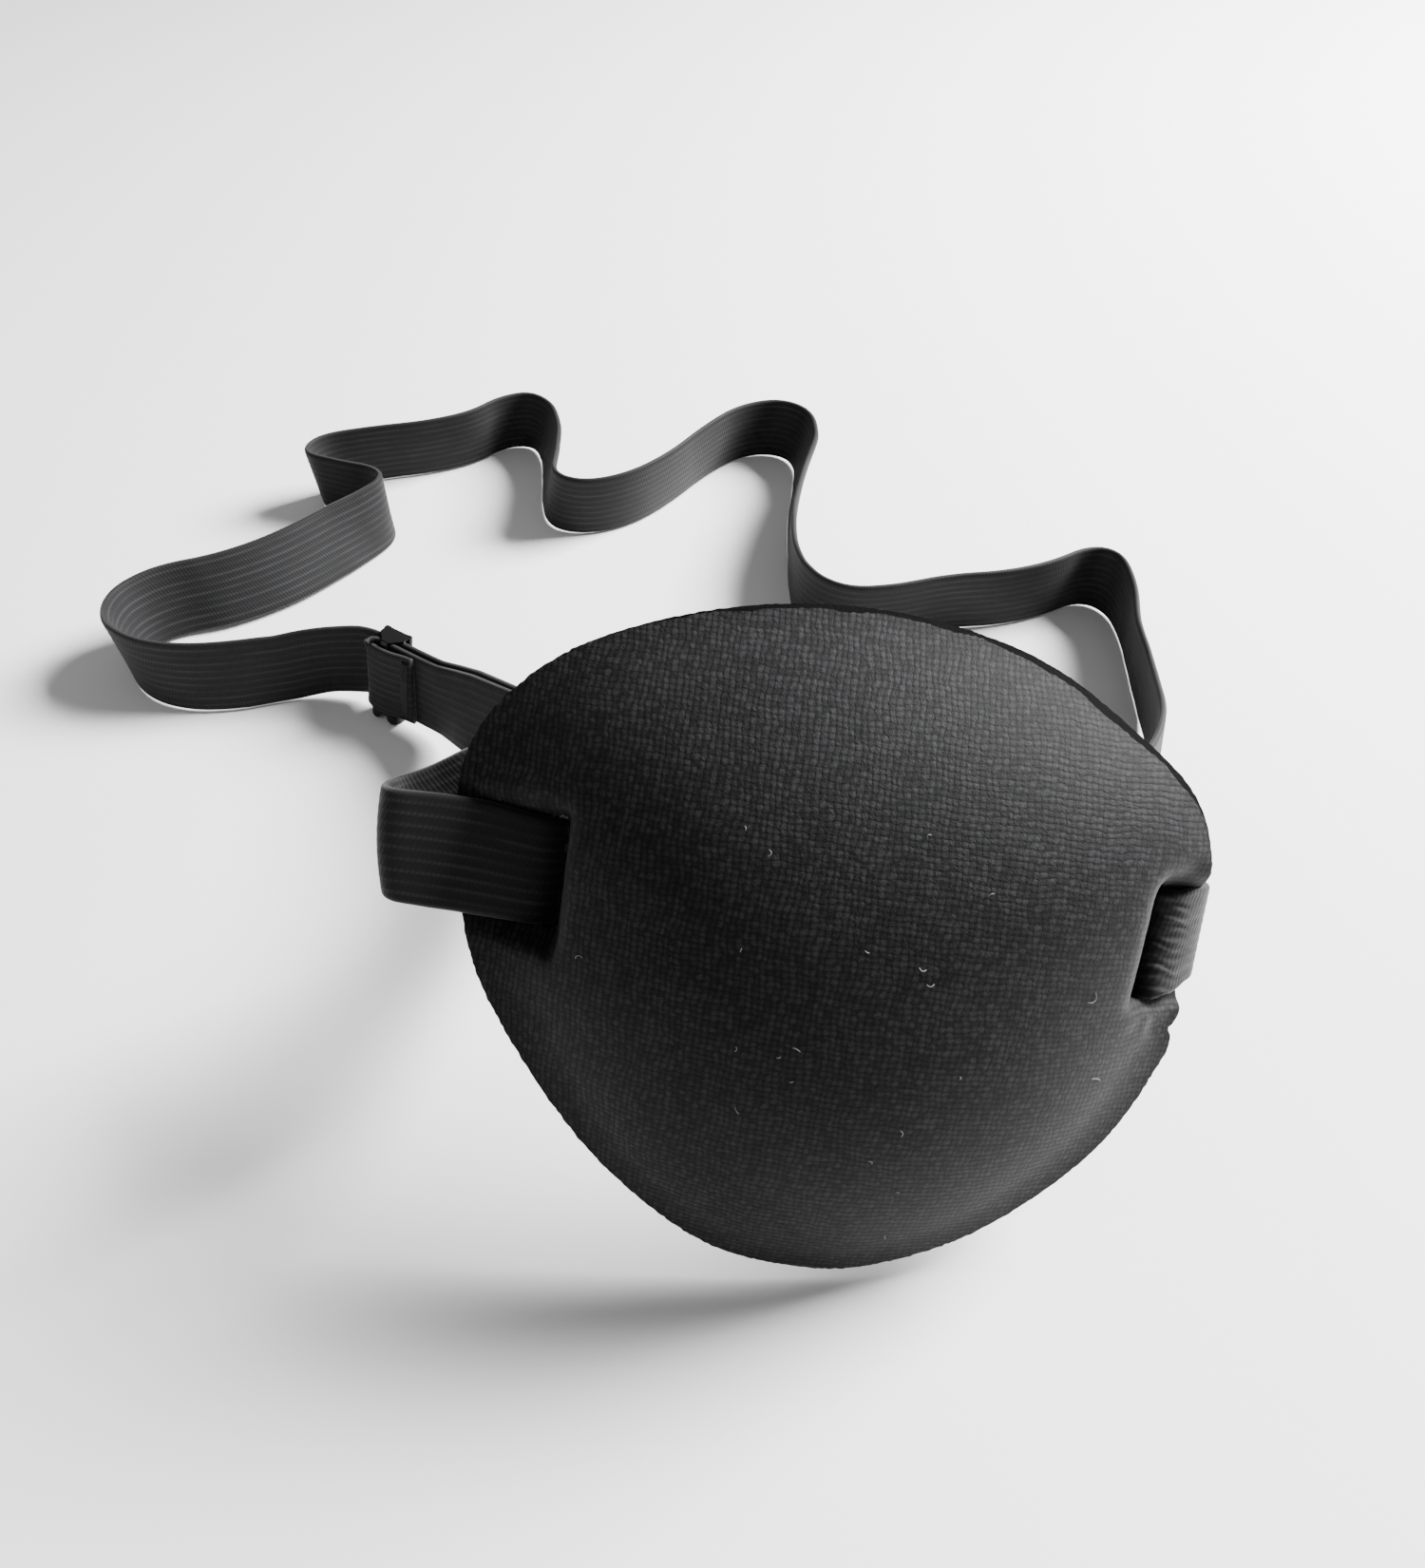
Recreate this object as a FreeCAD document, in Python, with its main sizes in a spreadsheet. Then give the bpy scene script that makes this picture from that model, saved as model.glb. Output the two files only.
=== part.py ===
# Eye patch with an adjustable elastic head strap, lying as it was put down on a table.
# Millimetres. +Z is up, +X runs along the slots to the wearer's left, +Y runs from the patch to the strap.
# The origin is on the table, under the middle of the patch.
import FreeCAD, Part
import math
import os

from FreeCAD import Placement, Rotation, Vector

os.makedirs("parts", exist_ok=True)
document = FreeCAD.newDocument("eye_patch")

# ---------------------------------------------------------------- driving dimensions
SIZES = (
    ("patch_lean", 50.0),           # degrees between the rim's plane and the table
    ("patch_roll", -8.0),           # degrees the patch is turned in its own plane
    ("cover_thickness", 0.45),
    ("foam_thickness", 2.8),
    ("lining_thickness", 0.45),
    ("margin_thickness", 1.4),      # the pressed edge, all three layers
    ("margin_core", 0.5),           # what is left of the foam in the pressed edge
    ("lining_inset", 0.6),
    ("dome_height", 17.0),
    ("slot_length", 15.0),
    ("slot_width", 2.6),
    ("slot_level", 4.5),            # the slots' middle above the patch's middle
    ("left_slot", -29.4),
    ("right_slot", 32.9),
    ("tape_width", 12.0),
    ("tape_thickness", 1.0),
    ("layer_gap", 0.3),
    ("hinge_depth", 10.0),          # how far behind the rim's plane the strap turns
    ("slider_length", 7.5),         # along the tape
    ("slider_height", 15.2),        # across the tape
    ("slider_depth", 4.4),
    ("slider_end_bar", 1.3),
    ("slider_centre_bar", 1.5),
    ("slider_bar_depth", 1.0),
    ("slider_opening", 12.6),
    ("slider_rounding", 1.2),
    ("slider_level", 7.6),          # the slider's middle above the table
    ("tack_depth", 0.3),
)

sheet = document.addObject("Spreadsheet::Sheet", "sizes")
for row, (name, value) in enumerate(SIZES, start=1):
    sheet.set(f"A{row}", name)
    sheet.set(f"B{row}", str(value))
    sheet.setAlias(f"B{row}", name)
document.recompute()


def size(name):
    return float(sheet.get(name))


def bind(feature, **expressions):
    for name, expression in expressions.items():
        feature.setExpression(name, expression)


# ---------------------------------------------------------------- where the patch leans
# In the patch's own frame x runs across it, y up it and z out of its domed face.
PATCH_MIDDLE = Vector(3.0, 1.0, 26.88)
patch_place = Placement(
    PATCH_MIDDLE,
    Rotation(Vector(1, 0, 0), size("patch_lean")) * Rotation(Vector(0, 0, 1), size("patch_roll")),
)


def at_patch(across, up, out):
    return patch_place.multVec(Vector(across, up, out))


PATCH_ACROSS = patch_place.Rotation.multVec(Vector(1, 0, 0))

# ---------------------------------------------------------------- patch layers
# The rim, anticlockwise from the bottom: broad at the top, narrow below.
RIM = (
    (1.5, -35.0), (10.0, -33.2), (20.5, -27.4), (31.0, -16.8), (37.0, -3.0), (38.4, 8.0),
    (35.3, 19.5), (26.5, 27.6), (14.0, 33.0), (-1.0, 35.0), (-16.0, 33.0), (-30.0, 27.2),
    (-38.6, 18.6), (-40.8, 8.5), (-37.8, -5.2), (-31.6, -15.2), (-21.5, -26.0), (-9.5, -33.6),
)
# Dome sections: share of the rim's width, share of its height, share of the dome's height.
DOME = (
    (0.70, 0.91, 0.06),
    (0.67, 0.86, 0.26),
    (0.59, 0.75, 0.52),
    (0.46, 0.58, 0.76),
    (0.28, 0.36, 0.93),
    (0.06, 0.08, 1.0),
)
DOME_SHIFT = 1.3
HALF_WIDTH = 40.0
HALF_HEIGHT = 35.0


def rim_wire(width_share, height_share, level, shift=0.0):
    points = [Vector(x * width_share + shift, y * height_share, level) for x, y in RIM]
    curve = Part.BSplineCurve()
    curve.interpolate(Points=points, PeriodicFlag=True)
    return Part.Wire([curve.toShape()])


def dome_form(depth, margin_level, margin_inset):
    """The space inside one skin: its margin plate and its dome, depth below the outer face."""
    width_share = 1.0 - margin_inset / HALF_WIDTH
    height_share = 1.0 - margin_inset / HALF_HEIGHT
    plate_face = Part.Face(rim_wire(width_share, height_share, 0.0))
    plate = plate_face.extrude(Vector(0, 0, margin_level))
    sections = []
    for width, height, level in DOME:
        narrow = max(width - depth / HALF_WIDTH, 0.03)
        low = max(height - depth / HALF_HEIGHT, 0.04)
        sections.append(rim_wire(narrow, low, level * size("dome_height") - depth * level, DOME_SHIFT))
    first = DOME[0]
    foot = Part.Face(rim_wire(first[0] - depth / HALF_WIDTH, first[1] - depth / HALF_HEIGHT, 0.0, DOME_SHIFT))
    post = foot.extrude(Vector(0, 0, first[2] * (size("dome_height") - depth)))
    dome = Part.makeLoft(sections, True, False)
    return plate.fuse(post).fuse(dome).removeSplitter()


def helper(name, shape):
    feature = document.addObject("Part::Feature", name)
    feature.Shape = shape
    return feature


core_depth = size("cover_thickness")
lining_depth = core_depth + size("foam_thickness")
cup_depth = lining_depth + size("lining_thickness")
core_level = size("margin_thickness") - size("cover_thickness")
lining_level = core_level - size("margin_core")

outer_form = helper("outer_form", dome_form(0.0, size("margin_thickness"), 0.0))
core_form = helper("core_form", dome_form(core_depth, core_level, 0.0))
lining_form = helper("lining_form", dome_form(lining_depth, lining_level, size("lining_inset")))
cup_foot = rim_wire(
    DOME[0][0] - cup_depth / HALF_WIDTH, DOME[0][1] - cup_depth / HALF_HEIGHT, 0.0, DOME_SHIFT
)
cup_sections = [cup_foot] + [
    rim_wire(
        max(width - cup_depth / HALF_WIDTH, 0.03),
        max(height - cup_depth / HALF_HEIGHT, 0.04),
        level * (size("dome_height") - cup_depth),
        DOME_SHIFT,
    )
    for width, height, level in DOME
]
cup_form = helper("cup_form", Part.makeLoft(cup_sections, True, False))

slot_tools = []
for side in ("left", "right"):
    tool = document.addObject("Part::Box", f"{side}_slot_tool")
    bind(
        tool,
        Length="sizes.slot_width",
        Width="sizes.slot_length",
        Height="sizes.dome_height",
    )
    tool.setExpression(".Placement.Base.x", f"sizes.{side}_slot - sizes.slot_width / 2")
    tool.setExpression(".Placement.Base.y", "sizes.slot_level - sizes.slot_length / 2")
    tool.setExpression(".Placement.Base.z", "-1")
    slot_tools.append(tool)
both_slots = document.addObject("Part::MultiFuse", "both_slots")
both_slots.Shapes = slot_tools

nodes = []


def add_node(feature, label, placement=None):
    feature.Label = label
    if placement is not None:
        feature.Placement = placement
    nodes.append(feature)
    return feature


def add_layer(label, outside, inside):
    shell = document.addObject("Part::Cut", f"{label}_shell")
    shell.Base = outside
    shell.Tool = inside
    layer = document.addObject("Part::Cut", f"{label}_layer")
    layer.Base = shell
    layer.Tool = both_slots
    return add_node(layer, label, patch_place)


add_layer("outer_cover", outer_form, core_form)
add_layer("foam_core", core_form, lining_form)
add_layer("inner_lining", lining_form, cup_form)


# ---------------------------------------------------------------- tape
def turn_between(before, after):
    return math.atan2(before.x * after.y - before.y * after.x, before.dot(after))


def rounded_path(points, share=0.45):
    """Straight runs joined by tangent arcs, each as large as its two runs allow."""
    points = [Vector(x, y, 0) for x, y in points]
    pieces = []
    start = points[0]
    for before, corner, after in zip(points, points[1:], points[2:]):
        arriving = corner - before
        leaving = after - corner
        setback = share * min(arriving.Length, leaving.Length)
        arriving.normalize()
        leaving.normalize()
        turn = turn_between(arriving, leaving)
        radius = setback / math.tan(abs(turn) / 2)
        side = Vector(-arriving.y, arriving.x, 0) * math.copysign(1, turn)
        arc_start = corner - arriving * setback
        arc_end = corner + leaving * setback
        centre = arc_start + side * radius
        pieces.append({"start": start, "end": arc_start, "turn": 0.0})
        pieces.append({"start": arc_start, "end": arc_end, "turn": turn, "centre": centre, "radius": radius})
        start = arc_end
    pieces.append({"start": start, "end": points[-1], "turn": 0.0})
    return pieces


def path_length(pieces):
    straight = sum((piece["end"] - piece["start"]).Length for piece in pieces if not piece["turn"])
    curved = sum(abs(piece["turn"]) * piece["radius"] for piece in pieces if piece["turn"])
    return straight + curved


def offset_edges(pieces, offset):
    """The path's edges moved to its left by offset."""
    edges = []
    for piece in pieces:
        if not piece["turn"]:
            along = piece["end"] - piece["start"]
            along.normalize()
            shift = Vector(-along.y, along.x, 0) * offset
            edges.append(Part.LineSegment(piece["start"] + shift, piece["end"] + shift).toShape())
            continue
        centre = piece["centre"]
        radius = piece["radius"] - offset * math.copysign(1, piece["turn"])
        spoke = piece["start"] - centre
        spoke.normalize()
        angles = (0.0, piece["turn"] / 2, piece["turn"])
        ends = [
            centre + Rotation(Vector(0, 0, 1), math.degrees(angle)).multVec(spoke) * radius
            for angle in angles
        ]
        edges.append(Part.Arc(*ends).toShape())
    return edges


def tape_face(pieces):
    """The tape seen on edge: its thickness on both sides of the path."""
    half = size("tape_thickness") / 2
    left = offset_edges(pieces, half)
    right = offset_edges(pieces, -half)
    first_cap = Part.LineSegment(right[0].Vertexes[0].Point, left[0].Vertexes[0].Point).toShape()
    last_cap = Part.LineSegment(left[-1].Vertexes[-1].Point, right[-1].Vertexes[-1].Point).toShape()
    wire = Part.Wire(Part.__sortEdges__(left + [last_cap] + right + [first_cap]))
    return Part.Face(wire)


# The long loop of tape, standing on its edge on the table, from the slider round to the patch.
BAND_ROUTE = (
    (-77.0, 69.6), (-84.0, 66.9), (-91.5, 67.0), (-98.0, 69.2), (-103.0, 74.1), (-103.6, 80.6),
    (-99.0, 85.8), (-91.0, 89.0), (-82.0, 95.6), (-74.0, 105.1), (-68.4, 111.6), (-69.6, 116.8),
    (-77.0, 120.2), (-81.6, 123.2), (-80.4, 128.0), (-73.0, 131.8), (-64.0, 134.2), (-56.0, 137.8),
    (-50.8, 142.6), (-45.0, 144.0), (-40.6, 140.2), (-39.0, 132.6), (-38.6, 124.2), (-38.0, 116.6),
    (-32.5, 113.6), (-24.5, 116.2), (-17.5, 123.2), (-11.5, 132.2), (-5.0, 139.2), (2.4, 141.2),
    (7.8, 137.6), (8.4, 129.6), (6.0, 118.6), (4.4, 105.6), (4.0, 94.6), (5.8, 86.6), (12.0, 82.2),
    (20.0, 83.2), (29.0, 86.0), (37.6, 86.6), (46.0, 89.2), (53.0, 93.2), (58.4, 90.8), (59.2, 82.6),
    (58.0, 73.6), (57.0, 63.6),
)
band_pieces = rounded_path(BAND_ROUTE)
strap_band = document.addObject("Part::Extrusion", "strap_band_tape")
strap_band.Base = helper("strap_band_profile", tape_face(band_pieces))
strap_band.DirMode = "Custom"
strap_band.Dir = Vector(0, 0, 1)
strap_band.Solid = True
bind(strap_band, LengthFwd="sizes.tape_width")
add_node(strap_band, "strap_band")


class Station:
    """One cross-section of the tape: its middle, the way it runs and the way its width points."""

    def __init__(self, middle, along, width):
        self.middle = Vector(middle)
        along = Vector(along)
        along.normalize()
        self.width = Vector(width) - along * along.dot(Vector(width))
        self.width.normalize()
        self.face = along.cross(self.width)

    def wire(self):
        half_width = self.width * (size("tape_width") / 2)
        half_face = self.face * (size("tape_thickness") / 2)
        corners = [
            self.middle - half_width - half_face,
            self.middle + half_width - half_face,
            self.middle + half_width + half_face,
            self.middle - half_width + half_face,
        ]
        return Part.makePolygon(corners + corners[:1])


def twisted_tape(stations):
    return Part.makeLoft([station.wire() for station in stations], True, True)


def end_disc(middle, axis):
    """The rounded end of a tape, with its middle on the line that the patch turns about."""
    thickness = size("tape_thickness")
    start = middle - axis * (thickness / 2)
    return Part.makeCylinder(size("tape_width") / 2, thickness, start, axis)


def hinge_point(across):
    return at_patch(across, size("slot_level"), -size("hinge_depth"))


RIGHT_FOLD_DEPTH = 3.4  # from the right slot's middle to the leg that meets the strap
layer_step = size("tape_thickness") + size("layer_gap")
left_inner_leg = size("left_slot")
left_outer_leg = left_inner_leg - layer_step
running_layer = left_inner_leg + layer_step
sewn_layer = left_outer_leg - layer_step
right_leg = size("right_slot") + RIGHT_FOLD_DEPTH
right_strap_layer = right_leg + layer_step

# The slider sits on a straight stretch of tape that runs towards the patch.
SLIDER_PLACE = Vector(-59.6, 65.0, size("slider_level"))
SLIDE_WAY = Vector(20.4, -13.6, 0)
SLIDE_WAY.normalize()
OUTWARD = Vector(SLIDE_WAY.y, -SLIDE_WAY.x, 0)
UPWARD = Vector(0, 0, 1)
HALF_TAPE = Vector(0, 0, size("tape_width") / 2)


STRAP_WAY = Vector(0, 0.92, -0.39)  # the way the strap leaves the patch: back and down
FIRST_RUN = 8.0
SLIDE_FOOT = 20.0  # the straight stretch under the slider, towards the patch
SLIDE_HEAD = 5.5   # and away from it
SEWN_OFFSET = 4.4  # how far the sewn layer stands out from the running layer


def hinge_run(across):
    """The first stretch of a strap end: square to the hinge line, heading down and away."""
    start = hinge_point(across)
    away = STRAP_WAY - PATCH_ACROSS * STRAP_WAY.dot(PATCH_ACROSS)
    away.normalize()
    width = PATCH_ACROSS.cross(away)
    return start, away, width


def add_strap_end(label, across, stations):
    start, away, width = hinge_run(across)
    sections = [Station(start, away, width), Station(start + away * FIRST_RUN, away, width)] + stations
    body = twisted_tape(sections).fuse(end_disc(start, PATCH_ACROSS))
    return add_node(helper(f"{label}_form", body), label)


slide_foot = SLIDER_PLACE + SLIDE_WAY * SLIDE_FOOT
slide_head = SLIDER_PLACE - SLIDE_WAY * SLIDE_HEAD
sewn_foot = slide_foot - SLIDE_WAY * SLIDE_HEAD + OUTWARD * SEWN_OFFSET
band_start = Vector(*BAND_ROUTE[0], 0) + HALF_TAPE
band_way = Vector(*BAND_ROUTE[0], 0) - Vector(*BAND_ROUTE[1], 0)
band_end = Vector(*BAND_ROUTE[-1], 0) + HALF_TAPE
band_end_way = Vector(*BAND_ROUTE[-2], 0) - Vector(*BAND_ROUTE[-1], 0)

add_strap_end(
    "strap_left_run",
    running_layer,
    [
        Station(slide_foot, -SLIDE_WAY, UPWARD),
        Station(slide_head, -SLIDE_WAY, UPWARD),
        Station(band_start, -band_way, UPWARD),
    ],
)
add_strap_end("strap_end_run", sewn_layer, [Station(sewn_foot, -SLIDE_WAY, UPWARD)])
add_strap_end("strap_right_run", right_strap_layer, [Station(band_end, band_end_way, UPWARD)])

# The loops that hold the patch: seen along the slots, x across the patch and y out of its face.
loop_place = patch_place * Placement(
    Vector(0, size("slot_level") + size("tape_width") / 2, 0), Rotation(Vector(1, 0, 0), 90)
)
leg_end = -size("hinge_depth")
MARGIN_GAP = 0.15
tape_on_margin = size("margin_thickness") + size("tape_thickness") / 2 + MARGIN_GAP
LEFT_LOOP = (
    (left_inner_leg, leg_end), (left_inner_leg, 0.9), (left_inner_leg - 1.2, tape_on_margin),
    (-38.0, tape_on_margin - 0.1), (-44.0, tape_on_margin + 0.4), (-47.6, 0.2), (-46.2, -2.8), (-40.0, -3.1),
    (left_outer_leg - 0.9, -2.6), (left_outer_leg, -3.5), (left_outer_leg, leg_end),
)
sewn_tail = right_leg - size("tape_thickness") - 0.05
RIGHT_LOOP = (
    (sewn_tail, -9.0), (sewn_tail, -4.8), (size("right_slot"), -2.4), (size("right_slot"), 0.9),
    (size("right_slot") + 1.2, tape_on_margin), (39.7, tape_on_margin + 0.1), (40.4, -1.6), (right_leg, -3.0),
    (right_leg, leg_end),
)


def add_loop(label, points, legs):
    strip = tape_face(rounded_path(points)).extrude(Vector(0, 0, size("tape_width")))
    for across in legs:
        middle = Vector(across, leg_end, size("tape_width") / 2)
        strip = strip.fuse(end_disc(middle, Vector(1, 0, 0)))
    add_node(helper(f"{label}_form", strip), label, loop_place)


add_loop("left_slot_loop", LEFT_LOOP, (left_inner_leg, left_outer_leg))
add_loop("right_slot_loop", RIGHT_LOOP, (right_leg,))

# ---------------------------------------------------------------- slider
# In the slider's own frame x runs along the tape to the patch, y across it and z out of its front.
slider_place = Placement(SLIDER_PLACE, Rotation(SLIDE_WAY, UPWARD, OUTWARD, "XYZ"))
slider_back = -1.6


def origin_plane(body, role):
    return next(plane for plane in body.Origin.OriginFeatures if plane.Role == role)


def rectangle_sketch(body, name, boxes, level):
    sketch = body.newObject("Sketcher::SketchObject", name)
    sketch.AttachmentSupport = [(origin_plane(body, "XY_Plane"), "")]
    sketch.MapMode = "FlatFace"
    sketch.AttachmentOffset = Placement(Vector(0, 0, level), Rotation())
    for low_x, high_x, half_y in boxes:
        corners = [(low_x, -half_y), (high_x, -half_y), (high_x, half_y), (low_x, half_y)]
        for (x1, y1), (x2, y2) in zip(corners, corners[1:] + corners[:1]):
            sketch.addGeometry(Part.LineSegment(Vector(x1, y1, 0), Vector(x2, y2, 0)))
    return sketch


slider = document.addObject("PartDesign::Body", "slider")
half_length = size("slider_length") / 2
half_centre = size("slider_centre_bar") / 2
half_window = half_length - size("slider_end_bar")
half_opening = size("slider_opening") / 2
frame_sketch = rectangle_sketch(
    slider, "slider_outline", [(-half_length, half_length, size("slider_height") / 2)], slider_back
)
frame_pad = slider.newObject("PartDesign::Pad", "slider_frame")
frame_pad.Profile = frame_sketch
bind(frame_pad, Length="sizes.slider_depth")
document.recompute()

front_level = slider_back + size("slider_depth")
OVERRUN = 0.5  # the channel's cut runs past the frame's ends
front_sketch = rectangle_sketch(
    slider,
    "slider_front_channel",
    [
        (-half_length - OVERRUN, -half_centre, half_opening),
        (half_centre, half_length + OVERRUN, half_opening),
    ],
    front_level,
)
front_pocket = slider.newObject("PartDesign::Pocket", "slider_front_pocket")
front_pocket.Profile = front_sketch
bind(front_pocket, Length="sizes.slider_depth - sizes.slider_bar_depth")
back_sketch = rectangle_sketch(
    slider, "slider_back_channel", [(-half_window, half_window, half_opening)], slider_back
)
back_pocket = slider.newObject("PartDesign::Pocket", "slider_back_pocket")
back_pocket.Profile = back_sketch
back_pocket.Reversed = True
bind(back_pocket, Length="sizes.slider_depth - sizes.slider_bar_depth")
document.recompute()
corner_edges = []
for number, edge in enumerate(back_pocket.Shape.Edges, start=1):
    low, high = (vertex.Point for vertex in (edge.Vertexes[0], edge.Vertexes[-1]))
    upright = abs(low.x - high.x) + abs(low.y - high.y) < 0.001
    if upright and abs(low.y) > half_opening + 1 and abs(low.x) > half_length - 0.01:
        corner_edges.append(f"Edge{number}")
rounding = slider.newObject("PartDesign::Fillet", "slider_corners")
rounding.Base = (back_pocket, corner_edges)
bind(rounding, Radius="sizes.slider_rounding")
add_node(slider, "slider", slider_place)

# The tape's end goes round the slider's centre bar and is sewn to itself.
bar_back = front_level - size("slider_bar_depth")
inner_leg_level = bar_back - 0.05 - size("tape_thickness") / 2
outer_leg_level = front_level + 0.05 + size("tape_thickness") / 2
fold_middle = (inner_leg_level + outer_leg_level) / 2
FOLD_CLEARANCE = 1.1
fold_reach = -half_centre - FOLD_CLEARANCE
fold_place = slider_place * Placement(Vector(0, size("tape_width") / 2, 0), Rotation(Vector(1, 0, 0), 90))
FOLD = (
    (9.0, inner_leg_level), (fold_reach, inner_leg_level), (fold_reach, outer_leg_level),
    (9.5, outer_leg_level),
)
fold_form = tape_face(rounded_path(FOLD)).extrude(Vector(0, 0, size("tape_width")))
add_node(helper("end_fold_form", fold_form), "strap_end_fold", fold_place)


def add_tack(label, low_x, high_x, level, placement, rows=3):
    """Rows of thread across the tape, lying on its face."""
    pitch = (high_x - low_x) / rows
    across = size("tape_width") - 2.0
    bars = []
    for number in range(rows):
        bar = document.addObject("Part::Box", f"{label}_row_{number + 1}")
        bar.Length = pitch * 0.8
        bar.Width = across
        bind(bar, Height="sizes.tack_depth")
        bar.Placement = Placement(Vector(low_x + number * pitch, -across / 2, level), Rotation())
        bars.append(bar)
    tack = document.addObject("Part::Compound", f"{label}_rows")
    tack.Links = bars
    return add_node(tack, label, placement)


add_tack("slider_bar_tack", 4.6, 7.2, outer_leg_level + size("tape_thickness") / 2, slider_place)
tack_place = patch_place * Placement(Vector(0, size("slot_level"), 0), Rotation())
tack_left = Placement(
    Vector(sewn_tail - size("tape_thickness") / 2, 0, 0), Rotation(Vector(0, 1, 0), -90)
)
add_tack("right_bar_tack", -8.8, -6.0, 0.0, tack_place * tack_left)

# ---------------------------------------------------------------- checks and export
document.recompute()
for item in document.Objects:
    if "Invalid" in item.State or "Error" in item.State:
        raise RuntimeError(f"{item.Label} failed: {item.State}")
for node in nodes:
    if node.Shape.isNull() or not node.Shape.isValid():
        raise RuntimeError(f"{node.Label} has no valid shape")

section = size("tape_width") * size("tape_thickness")
band_length = path_length(band_pieces)
radii = sorted(piece["radius"] for piece in band_pieces if piece["turn"])
print("strap band length", round(band_length, 1), "volume", round(strap_band.Shape.Volume, 1))
print("section times length", round(section * band_length, 1))
print("strap band radii", [round(radius, 1) for radius in radii])

for node in nodes:
    box = node.Shape.BoundBox
    corners = [round(value, 1) for value in (box.XMin, box.XMax, box.YMin, box.YMax, box.ZMin, box.ZMax)]
    print(node.Label, len(node.Shape.Solids), round(node.Shape.Volume, 1), corners)
    node.Shape.exportStep(f"parts/{node.Label}.step")
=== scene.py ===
# An eye patch leaning on its own elastic strap, on a plain pale table. Metres; the CAD model is the frame.
import math

import bpy
import numpy as np
from mathutils import Matrix, Vector


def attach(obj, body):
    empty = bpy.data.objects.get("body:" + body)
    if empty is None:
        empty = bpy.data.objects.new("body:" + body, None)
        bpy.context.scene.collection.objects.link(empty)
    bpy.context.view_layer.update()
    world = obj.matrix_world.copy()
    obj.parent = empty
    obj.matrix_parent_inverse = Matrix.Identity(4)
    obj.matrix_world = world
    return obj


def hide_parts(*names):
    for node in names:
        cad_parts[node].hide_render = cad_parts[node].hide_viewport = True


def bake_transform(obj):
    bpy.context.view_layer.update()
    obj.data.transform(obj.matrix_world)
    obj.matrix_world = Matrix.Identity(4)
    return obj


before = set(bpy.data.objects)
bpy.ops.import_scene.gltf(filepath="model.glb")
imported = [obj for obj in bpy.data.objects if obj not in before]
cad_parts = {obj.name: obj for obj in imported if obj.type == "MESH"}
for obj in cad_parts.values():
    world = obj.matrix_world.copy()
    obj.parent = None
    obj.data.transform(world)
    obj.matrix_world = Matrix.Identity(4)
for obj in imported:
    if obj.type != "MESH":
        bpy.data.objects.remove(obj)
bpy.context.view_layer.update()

scene = bpy.context.scene
MM = 0.001
PHOTO_WIDTH = 1500
FOCAL_PIXELS = 1300
CAMERA_TILT = math.radians(90 - 46)

# ---------------------------------------------------------------- frame shared with the CAD model
PATCH_LEAN = math.radians(50)
PATCH_ROLL = math.radians(-8)
PATCH_MIDDLE = Vector((3.0, 1.0, 26.88)) * MM
PATCH_TURN = Matrix.Rotation(PATCH_LEAN, 4, "X") @ Matrix.Rotation(PATCH_ROLL, 4, "Z")
PATCH_PLACE = Matrix.Translation(PATCH_MIDDLE) @ PATCH_TURN
PATCH_ACROSS = (PATCH_TURN @ Vector((1, 0, 0))).normalized()
PATCH_UP = (PATCH_TURN @ Vector((0, 1, 0))).normalized()
PATCH_OUT = (PATCH_TURN @ Vector((0, 0, 1))).normalized()

LEFT_SLOT = -29.4
RIGHT_SLOT = 32.9
SLOT_LEVEL = 4.5
HINGE_DEPTH = 10.0
TAPE_WIDTH = 12.0
TAPE_THICKNESS = 1.0
LAYER_STEP = 1.3
RIB_PITCH = 1.2
RIB_HEIGHT = 0.022
MARGIN = 1.4


def at_patch(across, up, out):
    """A point of the patch's own frame, in millimetres, as a point of the model in metres."""
    return PATCH_PLACE @ (Vector((across, up, out)) * MM)


# ---------------------------------------------------------------- camera
def make_camera():
    """The photograph's view: from in front of the patch, looking down at it."""
    data = bpy.data.cameras.new("view")
    data.sensor_fit = "HORIZONTAL"
    data.sensor_width = 36.0
    data.lens = data.sensor_width * FOCAL_PIXELS / PHOTO_WIDTH
    camera = bpy.data.objects.new("view", data)
    scene.collection.objects.link(camera)
    camera.location = Vector((-9.6, -77.5, 132.0)) * MM
    camera.rotation_euler = (CAMERA_TILT, 0, 0)
    data.clip_start = 0.005
    data.clip_end = 20
    scene.camera = camera


make_camera()


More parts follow.
